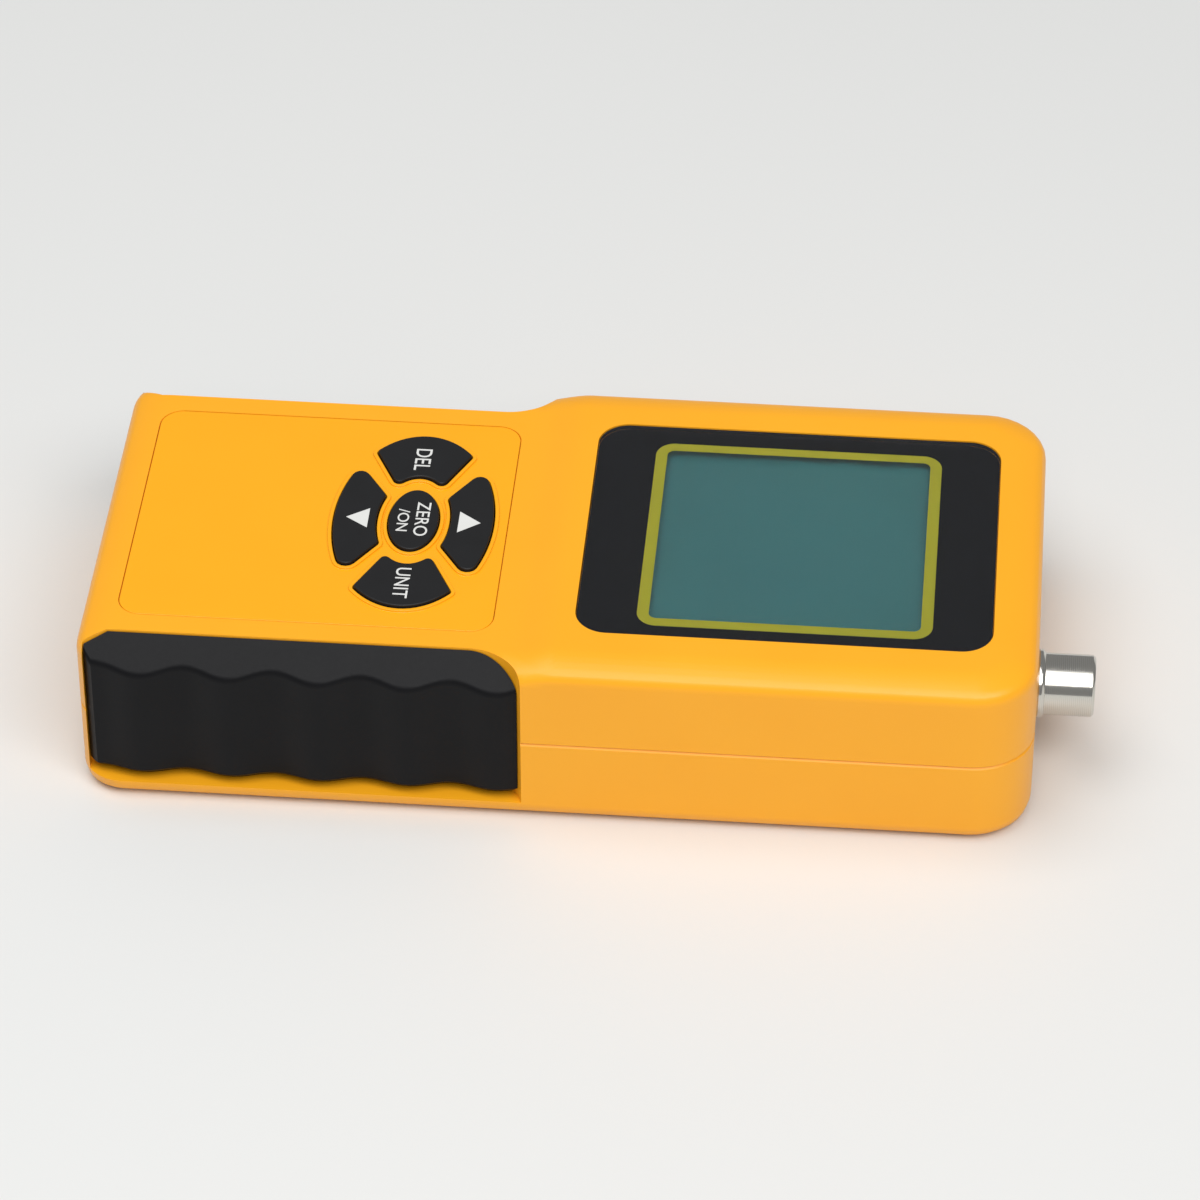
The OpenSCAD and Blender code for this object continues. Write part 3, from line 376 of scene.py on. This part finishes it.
def bare_ends(material, node, end):
    """Lets drawn steel show at both ends of sleeved pieces that lie along X."""
    low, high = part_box(node)
    tree = material.node_tree
    look = tree.nodes["Principled BSDF"]
    sleeve = look.inputs["Base Color"].links[0].from_socket
    place = add_node(tree, "ShaderNodeTexCoord")
    along = add_node(tree, "ShaderNodeSeparateXYZ", links={0: place.outputs["Generated"]})
    # The sleeve covers what is no further from the middle than half the length less the end.
    covered = add_node(tree, "ShaderNodeMath", {1: 0.5, 2: 0.5 - end / (high.x - low.x)},
                       {0: along.outputs["X"]}, operation="COMPARE")
    bare = add_node(tree, "ShaderNodeMath", {0: 1.0}, {1: covered.outputs[0]},
                    operation="SUBTRACT")
    tint = add_node(tree, "ShaderNodeMix", {MIX_FIRST: (*linear(BRIGHT_STEEL), 1)},
                    {MIX_FACTOR: covered.outputs[0], MIX_SECOND: sleeve}, data_type="RGBA")
    tree.links.new(tint.outputs[MIX_RESULT], look.inputs["Base Color"])
    tree.links.new(bare.outputs[0], look.inputs["Metallic"])


def lay_floor(stage):
    """A wide pale floor at the height of the gauge's back."""
    # Painted studio board: pale and matt, with a very slight mottle and fine roller marks.
    board = surface("studio_board_painted_pale", stage.floor, linear("#E0E0DE"), patch=300,
                    grain=1.5, depth=0.01, rough=0.6, spread=0.06, IOR=1.45)
    reach = FLOOR_REACH
    mesh = bpy.data.meshes.new("floor")
    corners = [(-reach, -reach, 0), (reach, -reach, 0), (reach, reach, 0), (-reach, reach, 0)]
    mesh.from_pydata(corners, [], [(0, 1, 2, 3)])
    mesh.materials.append(board)
    floor = add_object("floor", mesh)
    floor.location.z = cad_box[0].z


def hang_lights(stage, aim):
    """Two softboxes that face the gauge, in a dim white room."""
    # Each softbox's name, place and size in metres, and power.
    softboxes = (
        ("softbox_overhead", (-0.35, -0.15, 1.3), (1.1, 0.9), stage.key_power),
        ("softbox_front", (0.4, -0.85, 1.2), (1.4, 0.8), stage.fill_power),
    )
    for name, spot, size, power in softboxes:
        lamp = bpy.data.lights.new(name, "AREA")
        lamp.shape = "RECTANGLE"
        lamp.size, lamp.size_y = size
        lamp.energy = power
        holder = add_object(name, lamp)
        holder.location = spot
        holder.rotation_euler = (aim - Vector(spot)).to_track_quat("-Z", "Y").to_euler()
    room = bpy.data.worlds.get("white_room") or bpy.data.worlds.new("white_room")
    room.use_nodes = True
    room.node_tree.nodes.clear()
    sky = add_node(room.node_tree, "ShaderNodeBackground",
                   {"Color": (*linear("#F4F6F8"), 1), "Strength": stage.sky})
    add_node(room.node_tree, "ShaderNodeOutputWorld", links={"Surface": sky.outputs[0]})
    bpy.context.scene.world = room
    bpy.context.scene.view_settings.view_transform = "Standard"


def set_camera(stage, aim):
    """The camera, which looks at the middle of the gauge."""
    lens = bpy.data.cameras.new("camera")
    lens.lens = stage.lens
    lens.clip_start = 0.01
    lens.clip_end = 50.0
    camera = add_object("camera", lens)
    level = math.cos(stage.elevation)
    back = Vector((math.sin(stage.azimuth) * level, -math.cos(stage.azimuth) * level,
                   math.sin(stage.elevation)))
    camera.location = aim + back * stage.distance
    camera.rotation_euler = (-back).to_track_quat("-Z", "Y").to_euler()
    bpy.context.scene.camera = camera


class GAUGE_OT_case(bpy.types.Operator):
    """Finish the yellow front, back and battery door"""

    bl_idname = "gauge.case"
    bl_label = "Case"

    def execute(self, context):
        colours = context.scene.gauge_colours
        # ABS, injection moulded in a lightly spark-eroded tool: an even satin yellow with soft,
        # broad highlights. The tool's grain is about 0.1 mm and is drawn at 0.4 mm to show.
        abs_moulded = surface("abs_moulded_satin_yellow", colours.case, colours.case_deep,
                              patch=18, grain=0.4, depth=0.012, rough=0.36, spread=0.06,
                              IOR=1.54, **{"Specular IOR Level": 0.38})
        dress(of_slot("case_yellow"), abs_moulded, context.scene.gauge_sizes.case_edge)
        return {"FINISHED"}


class GAUGE_OT_grips(bpy.types.Operator):
    """Finish the soft black grips at the two sides"""

    bl_idname = "gauge.grips"
    bl_label = "Grips"

    def execute(self, context):
        colours = context.scene.gauge_colours
        # Thermoplastic elastomer, moulded over the case: near black, with a dusty satin sheen.
        # Its matt grain is about 0.15 mm and is drawn at 0.5 mm to show.
        elastomer = surface("elastomer_moulded_satin_black", colours.grip, linear("#0E0E11"),
                            patch=9, grain=0.5, depth=0.012, rough=0.44, spread=0.06,
                            IOR=1.45, **{"Specular IOR Level": 0.2})
        dress(of_slot("grip_black"), elastomer, context.scene.gauge_sizes.grip_edge)
        return {"FINISHED"}


class GAUGE_OT_display(bpy.types.Operator):
    """Finish the window, what is under it and the keys' plungers, and print the border and line"""

    bl_idname = "gauge.display"
    bl_label = "Display"

    def execute(self, context):
        colours, sizes = context.scene.gauge_colours, context.scene.gauge_sizes
        # Acrylic, cut from polished sheet: clear, with a hard bright gloss and a faint waviness.
        acrylic = surface("acrylic_polished_clear", linear("#FFFFFF"), linear("#FAFCFB"),
                          patch=25, grain=12, depth=0.004, rough=0.035, spread=0.015,
                          IOR=1.49, **{"Transmission Weight": 1.0})
        dress(["display_window"], acrylic)
        # Liquid crystal cell with polariser film, switched off: grey-green, satin.
        # The film's stretch marks are finer than 0.1 mm and are drawn at 0.6 mm.
        film = surface("polariser_film_stretched_grey_green", colours.glass, linear("#38767B"),
                       patch=30, grain=0.6, depth=0.0004, rough=0.3, spread=0.04, IOR=1.5,
                       **{"Specular IOR Level": 0.25})
        dress(["lcd_panel"], film)
        # Polycarbonate and acetal, moulded natural white: milky, faintly waxy.
        # The tool's grain is about 0.1 mm and is drawn at 0.5 mm.
        natural = surface("polycarbonate_moulded_milky_white", linear("#E9E9E2"),
                          linear("#DEDED4"), patch=8, grain=0.5, depth=0.01, rough=0.4,
                          spread=0.07, IOR=1.58, **{"Subsurface Weight": 0.1})
        dress(of_slot("white_plastic"), natural)
        # Silicone with carbon layers, extruded: fine stripes of pale and black across the strip.
        # They are about 0.1 mm apart and are drawn at 0.4 mm to show.
        stripes = surface("silicone_extruded_striped", linear("#17171A"), linear("#C9B8B2"),
                          grain=0.4, depth=0.01, rough=0.6, spread=0.08, rows=("X", 0.4),
                          IOR=1.42)
        dress(["contact_strips"], stripes)
        # Screen ink on the back of the window: dense and flat, with a little grain from the screen,
        # which is about 0.1 mm and is drawn at 0.5 mm. The ink is bonded to the acrylic, so it lies
        # just inside it and has next to no gloss of its own.
        bonded = {"Specular IOR Level": 0.05}
        black_ink = surface("screen_ink_black", colours.border, linear("#1A1B20"), patch=14,
                            grain=0.5, depth=0.003, rough=0.42, spread=0.06, IOR=1.5, **bonded)
        olive_ink = surface("screen_ink_olive", colours.line, linear("#CBC740"), patch=6,
                            grain=0.5, depth=0.003, rough=0.45, spread=0.06, IOR=1.5, **bonded)
        print_window(sizes, black_ink, olive_ink)
        return {"FINISHED"}


class GAUGE_OT_keypad(bpy.types.Operator):
    """Finish the keypad panel and the keys, and print the legends"""

    bl_idname = "gauge.keypad"
    bl_label = "Keypad"

    def execute(self, context):
        colours, sizes = context.scene.gauge_colours, context.scene.gauge_sizes
        # Polycarbonate film, printed on its back and embossed: a slightly glossier, deeper yellow.
        # Its fine velvet texture is about 0.1 mm and is drawn at 0.4 mm to show.
        film = surface("polycarbonate_film_printed_yellow", colours.panel, linear("#FBAA0F"),
                       patch=22, grain=0.4, depth=0.006, rough=0.3, spread=0.05, IOR=1.58,
                       **{"Specular IOR Level": 0.35})
        dress(["keypad_panel"], film, sizes.panel_edge)
        # Silicone rubber, compression moulded: soft black with a wide dull highlight.
        # Its grain is about 0.1 mm and is drawn at 0.35 mm to show.
        silicone = surface("silicone_moulded_matt_black", colours.key, linear("#19191B"),
                           patch=5, grain=0.35, depth=0.012, rough=0.5, spread=0.08, IOR=1.41)
        dress(of_slot("key_black"), silicone, sizes.key_edge)
        # Silicone ink, pad printed: opaque white, with a dull surface. Its grain is finer than
        # 0.1 mm and is drawn at 0.3 mm.
        white_ink = surface("pad_ink_white", colours.legend, linear("#DCDCD8"),
                            patch=2, grain=0.3, depth=0.003, rough=0.5, spread=0.08, IOR=1.45)
        print_legends(sizes.ink, white_ink)
        return {"FINISHED"}


class GAUGE_OT_electronics(bpy.types.Operator):
    """Finish the circuit board and what is soldered on it"""

    bl_idname = "gauge.electronics"
    bl_label = "Electronics"

    def execute(self, context):
        edge = context.scene.gauge_sizes.chip_edge
        # Glass epoxy under green solder resist: glossy green, lighter over the copper tracks.
        # The tracks are about 0.5 mm apart and are drawn at 1.6 mm to show.
        board = surface("glass_epoxy_resist_green", linear("#1E5A35"), linear("#2C7444"),
                        grain=0.5, depth=0.01, rough=0.32, spread=0.06, rows=("Y", 1.6),
                        IOR=1.55)
        dress(of_slot("board_green"), board)
        # Epoxy moulding compound: charcoal, matt, with a sandy grain, drawn at 0.3 mm.
        epoxy = surface("epoxy_moulded_charcoal", linear("#1D1E20"), linear("#27282A"),
                        patch=2, grain=0.3, depth=0.01, rough=0.55, spread=0.08, IOR=1.55)
        dress(of_slot("chip_black"), epoxy, edge)
        # Tinned steel, deep drawn: pale grey metal with draw lines, drawn 0.3 mm apart.
        can = surface("tinned_steel_drawn", linear(BRIGHT_STEEL), linear("#A6A7AA"), grain=0.3,
                      depth=0.004, rough=0.28, spread=0.06, rows=("Z", 0.3), Metallic=1.0)
        dress(of_slot("can_metal"), can, edge)
        return {"FINISHED"}


class GAUGE_OT_power(bpy.types.Operator):
    """Finish the cells and the leads"""

    bl_idname = "gauge.power"
    bl_label = "Power"

    def execute(self, context):
        sizes = context.scene.gauge_sizes
        # Shrink sleeve of printed film: plain dark blue with a soft plastic gloss and a ripple. It
        # stops short of each end, where the drawn steel can is bare and bright.
        cells = of_slot("cell_sleeve")
        sleeve = surface("shrink_film_printed_blue", linear("#22395F"), linear("#1C3053"),
                         patch=12, grain=0.8, depth=0.01, rough=0.3, spread=0.06)
        bare_ends(sleeve, cells[0], sizes.cell_end)
        dress(cells, sleeve, sizes.cell_edge)
        # Plasticised vinyl, extruded on wire: smooth, with a soft gloss and faint flow marks, which
        # are about 0.2 mm and are drawn at 0.6 mm.
        for slot, base, accent in (("wire_red", "#A81E1E", "#961818"),
                                   ("wire_black", "#1A1A1B", "#242425")):
            vinyl = surface("vinyl_extruded_" + slot, linear(base), linear(accent), patch=6,
                            grain=0.6, depth=0.006, rough=0.38, spread=0.06, IOR=1.53)
            dress(of_slot(slot), vinyl)
        return {"FINISHED"}


class GAUGE_OT_socket(bpy.types.Operator):
    """Finish the probe socket and the battery plates, which share its plating"""

    bl_idname = "gauge.socket"
    bl_label = "Probe socket"

    def execute(self, context):
        edge = context.scene.gauge_sizes.metal_edge
        # Brass, turned and bright nickel plated: near mirror, with rings left by the tool.
        # They are about 0.1 mm apart and are drawn at 0.3 mm to show.
        nickel = surface("brass_turned_nickel_plated", linear("#D8D5CE"), linear("#CBC7BE"),
                         grain=0.6, depth=0.0008, rough=0.14, spread=0.04, rows=("X", 0.3),
                         Metallic=1.0)
        dress(of_slot("nickel"), nickel, edge)
        # Fluoropolymer, turned: waxy white. Its tool marks are about 0.1 mm and are drawn at 0.4 mm.
        fluoropolymer = surface("fluoropolymer_turned_white", linear("#ECECE8"),
                                linear("#E0E0DA"), patch=2, grain=0.4, depth=0.006, rough=0.42,
                                spread=0.06, IOR=1.35)
        dress(of_slot("insulator_white"), fluoropolymer, edge / 2)
        # Brass, turned and gold plated: warm and bright, with fine tool rings, drawn at 0.3 mm.
        gold = surface("brass_turned_gold_plated", linear("#E2B95A"), linear("#D6AB4C"),
                       grain=0.4, depth=0.002, rough=0.2, spread=0.05, rows=("X", 0.3),
                       Metallic=1.0)
        dress(of_slot("gold_contact"), gold, edge / 3)
        return {"FINISHED"}


class GAUGE_OT_fasteners(bpy.types.Operator):
    """Finish the screws and springs"""

    bl_idname = "gauge.fasteners"
    bl_label = "Screws and springs"

    def execute(self, context):
        # Carbon steel, cold formed and zinc plated: grey, slightly hazy metal. The plating's grain
        # is finer than 0.1 mm and is drawn at 0.4 mm.
        steel = surface("steel_zinc_plated", linear("#A9ABAE"), linear("#95979A"), patch=3,
                        grain=0.4, depth=0.004, rough=0.3, spread=0.08, Metallic=1.0)
        dress(of_slot("steel"), steel)
        return {"FINISHED"}


class GAUGE_OT_stage(bpy.types.Operator):
    """Make the floor, the lights and the camera"""

    bl_idname = "gauge.stage"
    bl_label = "Stage"

    def execute(self, context):
        stage = context.scene.gauge_stage
        aim = (cad_box[0] + cad_box[1]) / 2
        lay_floor(stage)
        hang_lights(stage, aim)
        set_camera(stage, aim)
        return {"FINISHED"}


OPERATORS = (
    GAUGE_OT_case,
    GAUGE_OT_grips,
    GAUGE_OT_display,
    GAUGE_OT_keypad,
    GAUGE_OT_electronics,
    GAUGE_OT_power,
    GAUGE_OT_socket,
    GAUGE_OT_fasteners,
    GAUGE_OT_stage,
)
GROUPS = {"gauge_colours": GaugeColours, "gauge_sizes": GaugeSizes, "gauge_stage": GaugeStage}


class GAUGE_PT_sidebar(bpy.types.Panel):
    """Colours, sizes and steps of the gauge"""

    bl_idname = "GAUGE_PT_sidebar"
    bl_label = "Coating Thickness Gauge"
    bl_space_type = "VIEW_3D"
    bl_region_type = "UI"
    bl_category = "Gauge"

    def draw(self, context):
        for group, kind in GROUPS.items():
            box = self.layout.box()
            for field in kind.__annotations__:
                box.prop(getattr(context.scene, group), field)
        for step in OPERATORS:
            self.layout.operator(step.bl_idname)


CLASSES = (*GROUPS.values(), *OPERATORS, GAUGE_PT_sidebar)


def register():
    for kind in CLASSES:
        bpy.utils.register_class(kind)
    for name, kind in GROUPS.items():
        setattr(bpy.types.Scene, name, PointerProperty(type=kind))


def unregister():
    for name in GROUPS:
        delattr(bpy.types.Scene, name)
    for kind in reversed(CLASSES):
        bpy.utils.unregister_class(kind)


def main():
    """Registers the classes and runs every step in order."""
    register()
    for step in OPERATORS:
        getattr(bpy.ops.gauge, step.bl_idname.split(".")[1])()


if __name__ == "__main__":
    main()
